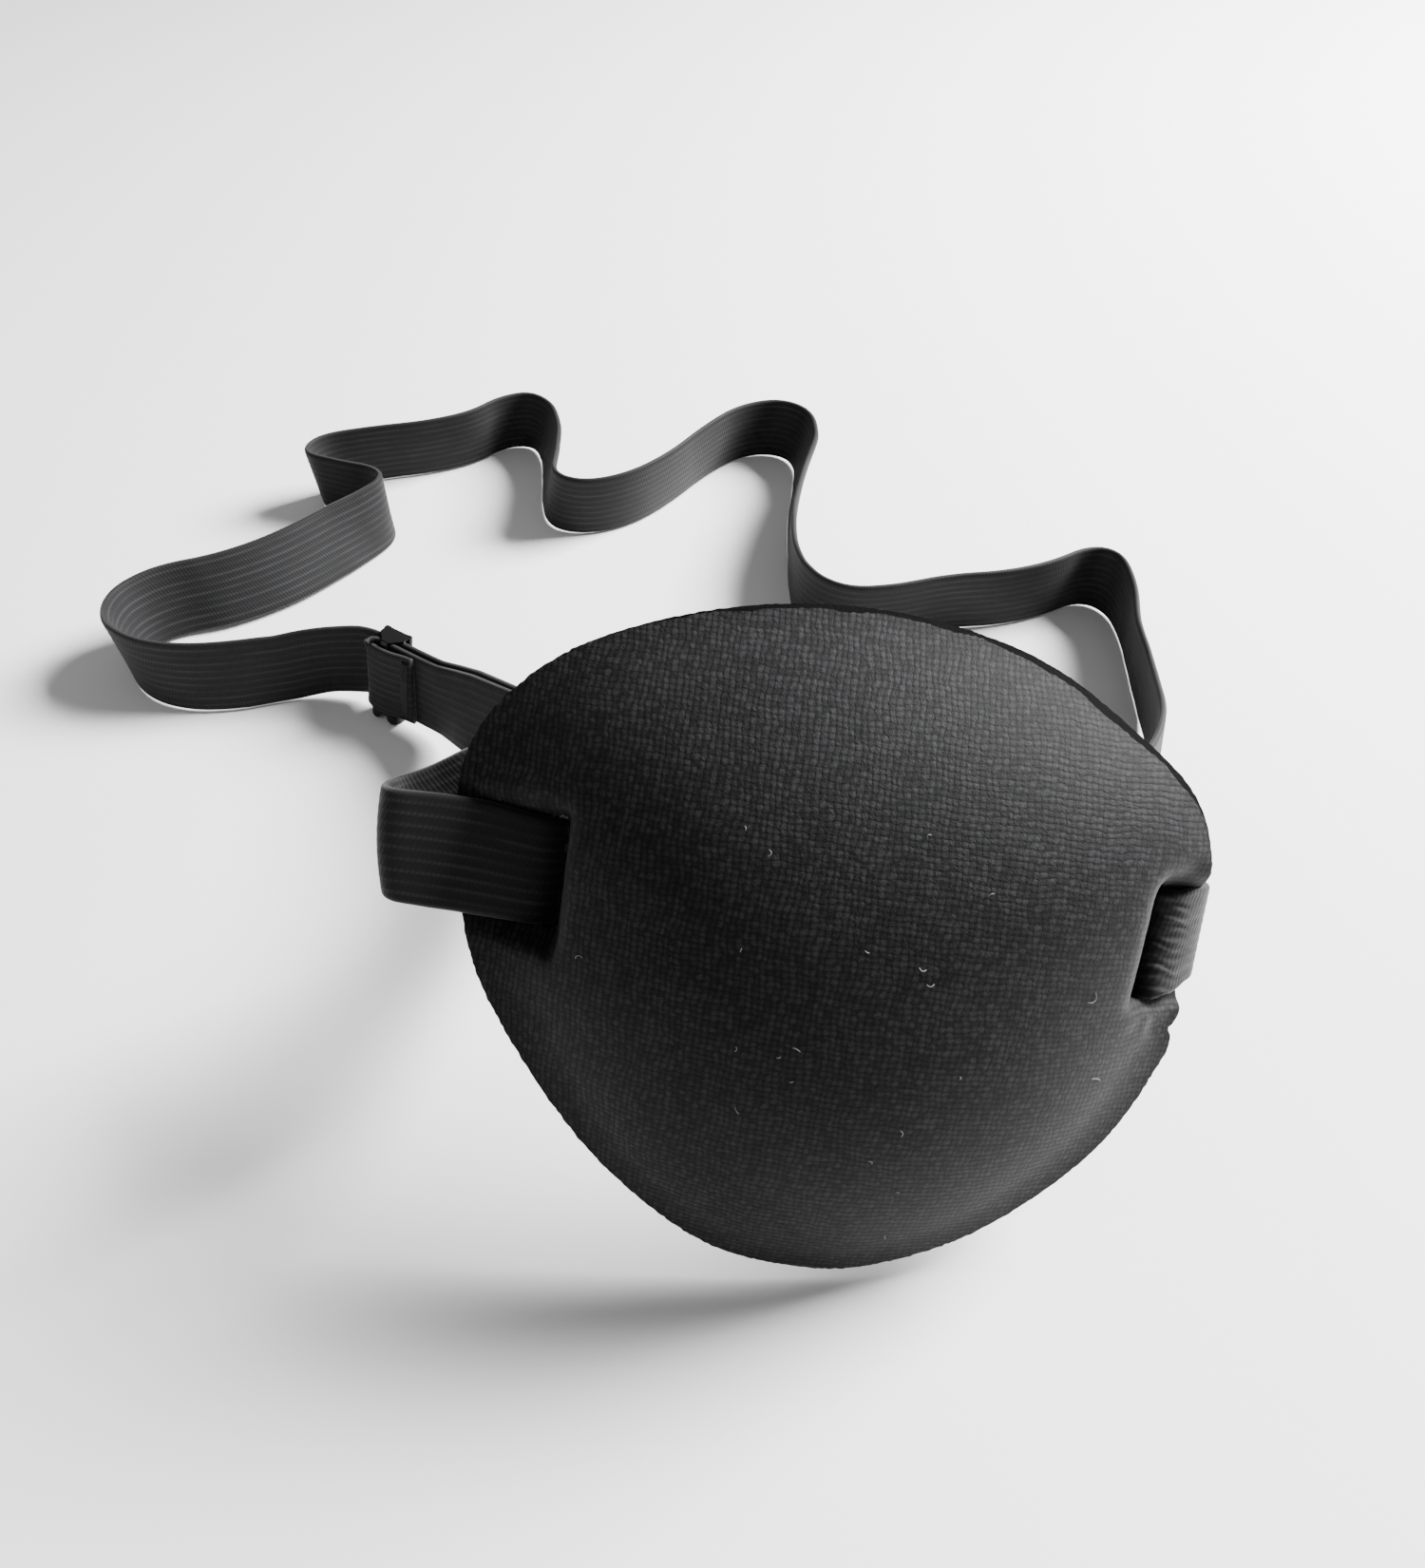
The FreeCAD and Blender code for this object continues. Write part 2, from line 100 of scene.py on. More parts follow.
# ---------------------------------------------------------------- materials
class Nodes:
    """A short way to write node trees."""

    def __init__(self, name):
        self.material = bpy.data.materials.new(name)
        self.material.use_nodes = True
        self.tree = self.material.node_tree
        self.shader = self.tree.nodes["Principled BSDF"]

    def add(self, kind, **values):
        node = self.tree.nodes.new(kind)
        for key, value in values.items():
            setattr(node, key, value)
        return node

    def link(self, source, target):
        self.tree.links.new(source, target)

    def feed(self, socket, value):
        if isinstance(value, (int, float)):
            socket.default_value = value
        else:
            self.link(value, socket)

    def math(self, operation, first, second=0.0):
        node = self.add("ShaderNodeMath", operation=operation)
        self.feed(node.inputs[0], first)
        self.feed(node.inputs[1], second)
        return node.outputs[0]

    def noise(self, vector, scale, detail=2.0, roughness=0.5):
        node = self.add("ShaderNodeTexNoise")
        self.link(vector, node.inputs["Vector"])
        node.inputs["Scale"].default_value = scale
        node.inputs["Detail"].default_value = detail
        node.inputs["Roughness"].default_value = roughness
        return node.outputs["Fac"]

    def mix(self, factor, dark, light):
        node = self.add("ShaderNodeMix", data_type="RGBA")
        self.feed(node.inputs["Factor"], factor)
        for socket, colour in ((node.inputs["A"], dark), (node.inputs["B"], light)):
            if isinstance(colour, tuple):
                socket.default_value = (*colour, 1)
            else:
                self.link(colour, socket)
        return node.outputs["Result"]

    def bump(self, height, distance, strength=1.0, normal=None):
        node = self.add("ShaderNodeBump")
        node.inputs["Distance"].default_value = distance
        node.inputs["Strength"].default_value = strength
        self.link(height, node.inputs["Height"])
        if normal is not None:
            self.link(normal, node.inputs["Normal"])
        return node.outputs["Normal"]

    def uv(self, layer):
        return self.add("ShaderNodeUVMap", uv_map=layer).outputs["UV"]

    def split(self, vector):
        node = self.add("ShaderNodeSeparateXYZ")
        self.link(vector, node.inputs[0])
        return node.outputs[0], node.outputs[1]


def wave(nodes, coordinate, period):
    """0 to 1 and back once in each period."""
    turns = nodes.math("MULTIPLY", coordinate, math.pi / period)
    return nodes.math("ABSOLUTE", nodes.math("SINE", turns))


def knit_material(name, base, light, roughness, wale, course, depth, sheen):
    """A fine jersey: upright columns of loops, each loop a small bead. UVs are millimetres on the cloth."""
    nodes = Nodes(name)
    uv = nodes.uv("cloth")
    across, along = nodes.split(uv)
    drift = nodes.math("MULTIPLY", nodes.math("SUBTRACT", nodes.noise(uv, 0.15, 2), 0.5), wale * 3)
    jitter = nodes.math("MULTIPLY", nodes.math("SUBTRACT", nodes.noise(uv, 1.1, 2), 0.5), wale * 0.7)
    across = nodes.math("ADD", nodes.math("ADD", across, drift), jitter)
    along = nodes.math("ADD", nodes.math("ADD", along, nodes.math("MULTIPLY", drift, 0.6)), jitter)
    column = wave(nodes, across, wale)
    row = wave(nodes, along, course)
    # The cover is stretched sideways towards its right end, where the rows show more than the columns.
    side = nodes.math("MULTIPLY", nodes.math("ADD", nodes.split(uv)[0], 40.0), 1 / 80)
    columns = nodes.math("MULTIPLY", column, nodes.math("SUBTRACT", 0.62, nodes.math("MULTIPLY", side, 0.42)))
    rows = nodes.math("MULTIPLY", row, nodes.math("ADD", 0.22, nodes.math("MULTIPLY", side, 0.36)))
    bead = nodes.math("ADD", columns, rows)
    fuzz = nodes.noise(uv, 4.5, 3, 0.7)
    uneven = nodes.noise(uv, 1.6, 3, 0.7)
    cell = nodes.add("ShaderNodeCombineXYZ")
    nodes.link(nodes.math("FLOOR", nodes.math("DIVIDE", across, wale)), cell.inputs[0])
    nodes.link(nodes.math("FLOOR", nodes.math("DIVIDE", along, course)), cell.inputs[1])
    chance = nodes.add("ShaderNodeTexWhiteNoise", noise_dimensions="2D")
    nodes.link(cell.outputs[0], chance.inputs["Vector"])
    own = nodes.math("ADD", 0.1, nodes.math("MULTIPLY", chance.outputs["Value"], 0.6))
    bead = nodes.math("ADD", 0.22, nodes.math("MULTIPLY", bead, 0.78))
    loops = nodes.math("MULTIPLY", bead, nodes.math("ADD", nodes.math("ADD", 0.1, own), uneven))
    shade = nodes.math("MULTIPLY", loops, nodes.math("ADD", 0.12, nodes.math("MULTIPLY", fuzz, 1.55)))
    shade = nodes.math("POWER", nodes.math("MINIMUM", shade, 1.0), 1.6)
    nodes.link(nodes.mix(shade, base, light), nodes.shader.inputs["Base Color"])
    height = nodes.math("ADD", loops, nodes.math("MULTIPLY", fuzz, 1.1))
    nodes.link(nodes.bump(height, depth), nodes.shader.inputs["Normal"])
    rough = nodes.math("ADD", roughness - 0.08, nodes.math("MULTIPLY", fuzz, 0.16))
    nodes.link(rough, nodes.shader.inputs["Roughness"])
    nodes.shader.inputs["Sheen Weight"].default_value = sheen
    nodes.shader.inputs["Sheen Roughness"].default_value = 0.4
    nodes.shader.inputs["Specular IOR Level"].default_value = 0.07
    return nodes.material


# The tape's dark colour, and its light one: mostly the painted highlight on the cords' crests, with some lighter fuzz.
TAPE_DARK = (0.0044, 0.0044, 0.0047)
TAPE_LIGHT = (0.0165, 0.0165, 0.0177)


def tape_material():
    """Braided elastic: lengthwise cords with a painted highlight on their crests, crossed by fine rows. UVs are
    millimetres along and across.
    """
    nodes = Nodes("elastic_tape")
    uv = nodes.uv("cloth")
    along, across = nodes.split(uv)
    weave = wave(nodes, nodes.math("ADD", along, nodes.math("MULTIPLY", across, 0.35)), 0.5)
    cords = wave(nodes, nodes.math("ADD", across, RIB_PITCH / 2), RIB_PITCH)
    fuzz = nodes.noise(uv, 3.2, 3, 0.7)
    streaks = nodes.add("ShaderNodeMapping")
    streaks.inputs["Scale"].default_value = (0.09, 0.7, 1)
    nodes.link(uv, streaks.inputs["Vector"])
    crest_highlight_fade = nodes.noise(streaks.outputs["Vector"], 1.0, 2, 0.6)
    # Painted highlight: the raised cords' crests are coloured lighter, fading in and out in streaks along the tape.
    crest = nodes.math("MULTIPLY", nodes.math("POWER", cords, 9.0), nodes.math("POWER", crest_highlight_fade, 3.0))
    crest = nodes.math("MULTIPLY", nodes.math("MULTIPLY", crest, 5.5), nodes.math("ADD", 0.35, weave))
    crest = nodes.math("MULTIPLY", crest, nodes.math("ADD", 0.4, fuzz))
    shade = nodes.math("ADD", crest, nodes.math("MULTIPLY", fuzz, 0.22))
    nodes.link(nodes.mix(nodes.math("MINIMUM", shade, 1.0), TAPE_DARK, TAPE_LIGHT), nodes.shader.inputs["Base Color"])
    height = nodes.math("ADD", nodes.math("MULTIPLY", weave, 0.7), nodes.math("MULTIPLY", fuzz, 0.6))
    nodes.link(nodes.bump(height, 0.00003), nodes.shader.inputs["Normal"])
    rough = nodes.math("ADD", 0.56, nodes.math("MULTIPLY", fuzz, 0.2))
    nodes.link(rough, nodes.shader.inputs["Roughness"])
    nodes.shader.inputs["Sheen Weight"].default_value = 0.08
    nodes.shader.inputs["Sheen Roughness"].default_value = 0.5
    nodes.shader.inputs["Specular IOR Level"].default_value = 0.11
    return nodes.material


def plain_material(name, base, light, roughness, scale, depth, sheen=0.0, specular=0.4):
    """A finely grained surface, a little uneven in colour and gloss."""
    nodes = Nodes(name)
    place = nodes.add("ShaderNodeTexCoord").outputs["Object"]
    grain = nodes.noise(place, scale, 4, 0.6)
    patches = nodes.noise(place, scale * 0.08, 2, 0.5)
    tone = nodes.math("MULTIPLY", nodes.math("ADD", grain, patches), 0.5)
    nodes.link(nodes.mix(tone, base, light), nodes.shader.inputs["Base Color"])
    nodes.link(nodes.bump(grain, depth), nodes.shader.inputs["Normal"])
    rough = nodes.math("ADD", roughness - 0.08, nodes.math("MULTIPLY", patches, 0.16))
    nodes.link(rough, nodes.shader.inputs["Roughness"])
    nodes.shader.inputs["Sheen Weight"].default_value = sheen
    nodes.shader.inputs["Specular IOR Level"].default_value = specular
    return nodes.material


KNIT = knit_material("knit_cover", (0.0007, 0.0007, 0.0008), (0.0195, 0.0195, 0.0207), 0.62, 0.64, 0.60, 0.00006, 0.05)
LINING_CLOTH = knit_material("lining", (0.003, 0.003, 0.0033), (0.014, 0.014, 0.015), 0.72, 0.9, 0.8, 0.00004, 0.15)
TAPE = tape_material()
# Partly painted shade: the foam is a real layer, coloured darker than the knit so that its band along the top and right
# rim and its walls in the slots read as shaded edges.
FOAM_DARK_AS_SHADE = plain_material("foam", (0.0006, 0.0006, 0.0006), (0.002, 0.002, 0.0021), 0.9, 2600, 0.0001, 0.0, 0.05)
PLASTIC = plain_material("slider_plastic", (0.002, 0.002, 0.0022), (0.004, 0.004, 0.0045), 0.45, 900, 0.00001, 0.0, 0.2)
THREAD = plain_material("thread", (0.003, 0.003, 0.0034), (0.010, 0.010, 0.011), 0.6, 1800, 0.00005, 0.08, 0.15)
LINT = plain_material("lint_fibre", (0.06, 0.06, 0.06), (0.16, 0.16, 0.16), 0.6, 4000, 0.00001)


# ---------------------------------------------------------------- mesh helpers
def new_object(name, vertices, faces, material, uvs=None):
    """A smooth-shaded mesh in the scene, with the cloth UVs given for its vertices."""
    mesh = bpy.data.meshes.new(name)
    mesh.from_pydata([tuple(vertex) for vertex in vertices], [], faces)
    mesh.materials.append(material)
    if uvs is not None:
        layer = mesh.uv_layers.new(name="cloth")
        for loop in mesh.loops:
            layer.data[loop.index].uv = uvs[loop.vertex_index]
    mesh.polygons.foreach_set("use_smooth", [True] * len(mesh.polygons))
    mesh.validate()
    mesh.update()
    piece = bpy.data.objects.new(name, mesh)
    scene.collection.objects.link(piece)
    return piece


def dress(piece, body, slot, *nodes):
    """The piece's material slot (not used), the CAD nodes it stands for, and the body it rides on, if it isn't blended.
    """
    if nodes:
        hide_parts(*nodes)
    if body:
        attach(piece, body)


def ring_faces(base, count, rows):
    """Faces of a closed tube of stacked rings of vertices, with both ends capped."""
    faces = []
    for row in range(rows - 1):
        for index in range(count):
            after = (index + 1) % count
            low, high = base + row * count, base + (row + 1) * count
            faces.append((low + index, low + after, high + after, high + index))
    faces.append(tuple(base + index for index in range(count))[::-1])
    faces.append(tuple(base + (rows - 1) * count + index for index in range(count)))
    return faces


def distances_along(points):
    """How far along a line each of its points is."""
    return np.concatenate([[0], np.cumsum(np.linalg.norm(np.diff(points, axis=0), axis=1))])


def at_distances(places, lengths, values):
    """Rows of three values, read at other distances along the line."""
    return np.stack([np.interp(places, lengths, values[:, axis]) for axis in range(3)], axis=1)


def resample(points, step, widths):
    """Points evenly spaced along a line, and the width directions there."""
    lengths = distances_along(points)
    count = max(int(round(lengths[-1] / step)), 2) + 1
    places = np.linspace(0, lengths[-1], count)
    return at_distances(places, lengths, points), at_distances(places, lengths, widths)


def smooth_line(control, name):
    """Points along a NURBS line through space that has the control points given."""
    curve = bpy.data.curves.new(name, "CURVE")
    curve.dimensions = "3D"
    spline = curve.splines.new("NURBS")
    spline.points.add(len(control) - 1)
    for point, place in zip(spline.points, control):
        point.co = (*place, 1)
    spline.order_u = 3
    spline.use_endpoint_u = True
    spline.resolution_u = 12
    holder = bpy.data.objects.new(name, curve)
    scene.collection.objects.link(holder)
    bpy.context.view_layer.update()
    mesh = bpy.data.meshes.new_from_object(holder)
    points = np.array([vertex.co for vertex in mesh.vertices], float)
    bpy.data.meshes.remove(mesh)
    bpy.data.objects.remove(holder)
    bpy.data.curves.remove(curve)
    return points


def carried_widths(points, control, widths):
    """The width direction at each point of a line, eased between the ones given at its control points."""
    lengths = distances_along(points)
    reach = distances_along(np.array(control, float))
    places = reach / reach[-1] * lengths[-1]
    return at_distances(lengths, places, np.array(widths, float))


def tape_section():
    """The tape's outline in millimetres, across and through it, with a raised cord every rib pitch."""
    half = TAPE_WIDTH / 2
    body = TAPE_THICKNESS / 2 - RIB_HEIGHT
    places = np.linspace(-half + 0.2, half - 0.2, 69)

    def level(across):
        crest = abs(math.cos(math.pi * across / RIB_PITCH))
        edge = min(1.0, (half - abs(across)) / 0.5) ** 0.5
        return (body + RIB_HEIGHT * crest ** 3) * edge

    top = [(across, level(across)) for across in places]
    bottom = [(across, -level(across)) for across in places[::-1]]
    return top + [(half, 0.0)] + bottom + [(-half, 0.0)]


SECTION = tape_section()


def tape_piece(name, points, widths, step=0.9, floor=None):
    """A tape along the line, its width along the directions given. Returns the piece and its middle line."""
    centres, wide = resample(points, step * MM, widths)
    # A width direction shorter than 1 draws the tape in by that much.
    squeeze = np.linalg.norm(wide, axis=1)
    tangents = np.gradient(centres, axis=0)
    tangents /= np.linalg.norm(tangents, axis=1)[:, None]
    wide -= tangents * np.sum(wide * tangents, axis=1)[:, None]
    wide /= np.linalg.norm(wide, axis=1)[:, None]
    faces_out = np.cross(tangents, wide)
    if floor is not None:
        reach = np.abs(wide[:, 2]) * TAPE_WIDTH / 2 * MM + np.abs(faces_out[:, 2]) * TAPE_THICKNESS / 2 * MM
        low = centres[:, 2] - reach
        centres[:, 2] += np.where(low < floor, floor - low, 0)
    vertices = []
    uvs = []
    places = distances_along(centres) / MM
    for centre, width, face, place, tight in zip(centres, wide, faces_out, places, squeeze):
        for across, through in SECTION:
            vertices.append(centre + (width * across * tight + face * through) * MM)
            uvs.append((place, across))
    faces = ring_faces(0, len(SECTION), len(centres))
    return new_object(name, vertices, faces, TAPE, uvs), centres


# ---------------------------------------------------------------- strap
# The strap's route from behind the left slot, through the slider and round to the right slot: where its
# middle lies on the table, and how far its upper edge leans away from upright, as a share of its width.
STRAP_ROUTE = (
    ((-0.0770, 0.0690), (0.00, 0.12)), ((-0.0840, 0.0672), (-0.02, 0.18)), ((-0.0915, 0.0668), (-0.05, 0.18)),
    ((-0.0985, 0.0688), (-0.12, 0.14)), ((-0.1040, 0.0740), (-0.20, 0.12)), ((-0.1046, 0.0812), (-0.22, 0.18)),
    ((-0.0998, 0.0866), (-0.22, 0.34)), ((-0.0910, 0.0894), (-0.28, 0.45)), ((-0.0820, 0.0956), (-0.32, 0.42)),
    ((-0.0740, 0.1051), (-0.30, 0.36)), ((-0.0682, 0.1118), (-0.16, 0.20)), ((-0.0694, 0.1172), (0.00, 0.05)),
    ((-0.0776, 0.1200), (-0.05, 0.00)), ((-0.0842, 0.1228), (-0.10, 0.00)), ((-0.0826, 0.1288), (-0.06, -0.05)),
    ((-0.0735, 0.1320), (0.04, -0.08)), ((-0.0640, 0.1340), (0.04, -0.10)), ((-0.0560, 0.1376), (0.06, -0.10)),
    ((-0.0514, 0.1430), (0.08, -0.06)), ((-0.0458, 0.1446), (0.12, 0.00)), ((-0.0418, 0.1404), (0.26, 0.05)),
    ((-0.0402, 0.1326), (0.34, 0.00)), ((-0.0398, 0.1236), (0.30, -0.02)), ((-0.0390, 0.1158), (0.16, -0.04)),
    ((-0.0325, 0.1132), (0.06, -0.08)), ((-0.0245, 0.1162), (0.04, -0.10)), ((-0.0175, 0.1232), (0.06, -0.10)),
    ((-0.0115, 0.1322), (0.06, -0.08)), ((-0.0050, 0.1396), (0.04, -0.06)), ((0.0026, 0.1418), (0.08, 0.02)),
    ((0.0080, 0.1378), (0.24, 0.04)), ((0.0084, 0.1296), (0.32, 0.00)), ((0.0060, 0.1186), (0.20, 0.00)),
    ((0.0044, 0.1056), (0.02, 0.00)), ((0.0040, 0.0946), (0.00, 0.02)), ((0.0056, 0.0862), (0.08, 0.04)),
    ((0.0120, 0.0820), (0.02, -0.04)), ((0.0200, 0.0832), (0.00, -0.10)), ((0.0290, 0.0860), (0.00, -0.10)),
    ((0.0376, 0.0866), (0.00, -0.08)), ((0.0460, 0.0892), (0.00, -0.06)), ((0.0532, 0.0936), (0.02, -0.02)),
    ((0.0580, 0.0912), (0.02, 0.04)), ((0.0585, 0.0826), (-0.04, 0.02)), ((0.0571, 0.0736), (-0.13, 0.00)),
    ((0.0568, 0.0636), (-0.09, 0.06)),
)
HALF_TAPE = TAPE_WIDTH / 2 * MM
SLIDER_PLACE = Vector((-0.0586, 0.0669, 0.0076))
SLIDE_WAY = Vector((20.4, -13.6, 0)).normalized()
OUTWARD = Vector((SLIDE_WAY.y, -SLIDE_WAY.x, 0))
UPWARD = (Vector((0, 0, 1)) - OUTWARD * 0.25).normalized()
ARM_WAY = Vector((0, 0.92, -0.39))
ARM_WAY = (ARM_WAY - PATCH_ACROSS * ARM_WAY.dot(PATCH_ACROSS)).normalized()
ARM_WIDTH = PATCH_ACROSS.cross(ARM_WAY).normalized()
ARM_CUT = 11.0 * MM


def hinge_point(across):
    """A point on the line behind the slots about which the patch flips."""
    return at_patch(across, SLOT_LEVEL, -HINGE_DEPTH)


def at_slider(along, across, out):
    """A point of the slider's own frame, in millimetres."""
    return SLIDER_PLACE + (SLIDE_WAY * along + UPWARD * across + OUTWARD * out) * MM


def sagging(along):
    """How far the strap has lifted, and bowed outwards, between the slider and the patch."""
    past = max(along - 9.5, 0) ** 2
    return 0.033 * past, 0.030 * past


def leaning(lean):
    """The tape's width direction, from how far its upper edge leans in X and Y."""
    return Vector((lean[0], lean[1], math.sqrt(max(1 - lean[0] ** 2 - lean[1] ** 2, 0.1))))


# Where across the patch each stretch of tape stands as it leaves the hinge line.
RUNNING_LAYER = LEFT_SLOT + 0.3
SEWN_LAYER = LEFT_SLOT - LAYER_STEP - 0.3
RIGHT_LEG = RIGHT_SLOT + 3.4


def make_strap():
    """The strap from the cut behind the left slot, through the slider and round to behind the right slot."""
    start = hinge_point(RUNNING_LAYER) + ARM_WAY * ARM_CUT
    control = [start, start + ARM_WAY * 0.012]
    widths = [ARM_WIDTH, ARM_WIDTH]
    foot = at_slider(19.0, *sagging(19.0))
    control += [(control[-1] + foot) / 2, foot, at_slider(11.0, *sagging(11.0))]
    control += [at_slider(3.5, 0, 0), at_slider(-4.5, 0, 0)]
    widths += [leaning((0.22, 0.46)), leaning((0.20, 0.42)), UPWARD * 0.96, UPWARD * 0.96, UPWARD * 0.96]
    control += [Vector((-0.0652, 0.0699, 0.0073)), Vector((-0.0706, 0.0701, 0.0070))]
    widths += [leaning((0.03, 0.16)), leaning((0.00, 0.10))]
    for (x, y), lean in STRAP_ROUTE:
        control.append(Vector((x, y, HALF_TAPE)))
        widths.append(leaning(lean))
    end = hinge_point(RIGHT_LEG) + ARM_WAY * ARM_CUT
    last = Vector((*STRAP_ROUTE[-1][0], HALF_TAPE))
    control += [last.lerp(end, 0.40) + Vector((0.0042, 0, -0.0008)), end + ARM_WAY * 0.014, end]
    widths += [leaning((-0.10, 0.16)), ARM_WIDTH, ARM_WIDTH]
    line = smooth_line(control, "strap_line")
    piece, centres = tape_piece("head_strap", line, carried_widths(line, control, widths), floor=0.0002)
    dress(piece, "strap", "elastic_tape", "strap_band", "strap_left_run", "strap_right_run")
    return piece, centres


head_strap, strap_line = make_strap()


# ---------------------------------------------------------------- loops of tape through the slots
def local_way(across, up, out):
    """A direction of the patch's own frame as a direction of the model."""
    return (PATCH_TURN @ Vector((across, up, out))).normalized()


def arm_points(across, near, far):
    """Two points on the tape behind the hinge line, at distances from it in metres."""
    start = hinge_point(across)
    return start + ARM_WAY * near, start + ARM_WAY * far


def loop_piece(name, across_in, across_out, route, nodes, wobble=None):
    """A loop of tape: up one strap end, through the places of the route, and down the other strap end."""
    control = []
    widths = []
    if across_in is not None:
        near, far = arm_points(across_in, 5.0 * MM, ARM_CUT)
        control += [far, near]
        widths += [ARM_WIDTH, ARM_WIDTH]
    for place, width, *tight in route:
        control.append(at_patch(*place))
        widths.append(local_way(*width) * (tight[0] if tight else 1.0))
    if across_out is not None:
        near, far = arm_points(across_out, 6.0 * MM, ARM_CUT)
        control += [near, far]
        widths += [ARM_WIDTH, ARM_WIDTH]
    line = smooth_line(control, name + "_line")
    piece, _ = tape_piece(name, line, carried_widths(line, control, widths), step=0.35)
    if wobble is not None:
        back = PATCH_PLACE.inverted()
        for vertex in piece.data.vertices:
            vertex.co += wobble(back @ vertex.co / MM)
    dress(piece, None, "elastic_tape", *nodes)
    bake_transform(piece)


# Places in the patch's own millimetres, with the tape's width direction there and how far it is drawn in.
UPRIGHT = (0, 1, 0)
LEFT_ROUTE = (
    ((-29.3, 4.5, -9.6), (0, 0.955, 0.289)),
    ((-29.4, 4.5, -5.0), UPRIGHT, 0.96),
    ((-29.5, 4.0, -1.8), UPRIGHT, 0.94),
    ((-29.6, 3.6, 0.6), UPRIGHT, 0.93),
    ((-31.0, 3.5, 1.8), UPRIGHT, 0.94),
    ((-34.6, 3.8, 1.95), (0.03, 1, 0), 0.97),
    ((-38.0, 4.1, 2.0), (0.03, 1, 0)),
    ((-42.6, 4.3, 2.7), UPRIGHT),
    ((-46.8, 4.2, 2.6), (-0.05, 1, 0), 0.98),
    ((-47.7, 4.4, -1.0), (-0.14, 0.99, 0), 0.97),
    ((-45.4, 5.2, -3.6), (-0.38, 0.92, 0)),
    ((-41.6, 7.2, -4.2), (-0.57, 0.82, 0)),
    ((-37.4, 10.0, -4.8), (-0.50, 0.86, 0.05)),
    ((-33.2, 10.6, -6.8), (-0.25, 0.95, 0.15)),
    ((-31.2, 8.2, -11.0), (-0.05, 0.955, 0.289)),
)
RIGHT_ROUTE = (
    ((36.0, 4.9, -9.5), (0, 0.955, 0.289)),
    ((36.2, 5.6, -6.0), UPRIGHT, 0.93),
    ((37.2, 6.2, -3.6), UPRIGHT, 0.88),
    ((38.0, 6.7, -1.0), (0.03, 1, 0), 0.84),
    ((37.3, 6.7, 1.3), (0.03, 1, 0), 0.84),
    ((35.4, 6.2, 3.0), (0.05, 1, 0), 0.87),
    ((33.4, 5.6, 4.1), (0.06, 1, 0), 0.92),
    ((31.7, 5.2, 4.1), (0.05, 1, 0), 0.95),
    ((30.9, 5.1, 2.2), UPRIGHT, 0.95),
    ((31.2, 5.1, -1.8), UPRIGHT, 0.94),
    ((32.6, 5.0, -4.0), UPRIGHT, 0.95),
    ((34.3, 5.0, -6.4), UPRIGHT, 0.96),
    ((34.9, 4.8, -9.0), UPRIGHT, 0.98),
)


def gathered(place):
    """How the tape ruffles where it dives into the right slot."""
    across, up, out = place
    share = math.exp(-((across - 33.6) / 2.6) ** 2) / (1 + math.exp(-(out + 1) * 3))
    ruffle = math.sin(up * 5.9 + across * 1.1) * 0.10 + math.sin(up * 2.3 - across * 0.9 + 0.7) * 0.10
    sway = math.sin(across * 1.7 + up * 0.9) * 0.10 + math.sin(up * 2.6 + across) * 0.08
    return PATCH_OUT * (ruffle * share * MM) + PATCH_UP * (sway * share * MM)


def cupped(place):
    """How the left fold bellies out between the tape's two edges."""
    across, up, out = place
    share = 1 / (1 + math.exp((across + 45.0) * 1.1))
    middle = 1 - ((up - 4.6) / 6.2) ** 2
    return PATCH_ACROSS * (-0.75 * share * middle * MM) + PATCH_OUT * (0.35 * share * middle * MM)


loop_piece("left_loop", RUNNING_LAYER, SEWN_LAYER, LEFT_ROUTE, ["left_slot_loop"], cupped)
loop_piece("right_loop", RIGHT_LEG, None, RIGHT_ROUTE, ["right_slot_loop"], gathered)


# ---------------------------------------------------------------- slider
RAIL_INNER_FACE = 5.92
HALF_RAIL = 2.9
# Each bar of the slider: from and to along the strap, and its back and front.
SLIDER_BARS = ((-2.7, -1.6, -1.50, -0.62), (1.6, 2.7, -1.50, -0.62), (-0.6, 0.6, 1.75, 2.25))
BAR_ENDS = (-6.1, 5.98)
BAR_SIDES = 16
# The rails' depth in steps, and how far each step is drawn in: the lower rail is full, the upper one slight.
LOWER_RAIL = ((-1.5, 0.80), (-1.3, 0.93), (-0.9, 1.0), (1.5, 1.0), (2.0, 0.93), (2.3, 0.80))
UPPER_RAIL = ((-1.3, 0.76), (-1.1, 0.84), (0.2, 0.84), (1.0, 0.5), (1.7, 0.24))


def rail_outline(outer, lobe):
    """A slider rail seen along its depth, between its inner face and its outer one, with a lobe at each end bar."""
    side = math.copysign(1, outer)
    outline = []
    for along in np.linspace(-HALF_RAIL, HALF_RAIL, 27):
        swell = max(1 - ((abs(along) - 2.0) / 1.25) ** 2, 0) ** 0.5
        outline.append((along, outer + side * lobe * swell))
    return outline + [(along, side * RAIL_INNER_FACE) for along in np.linspace(HALF_RAIL, -HALF_RAIL, 9)]


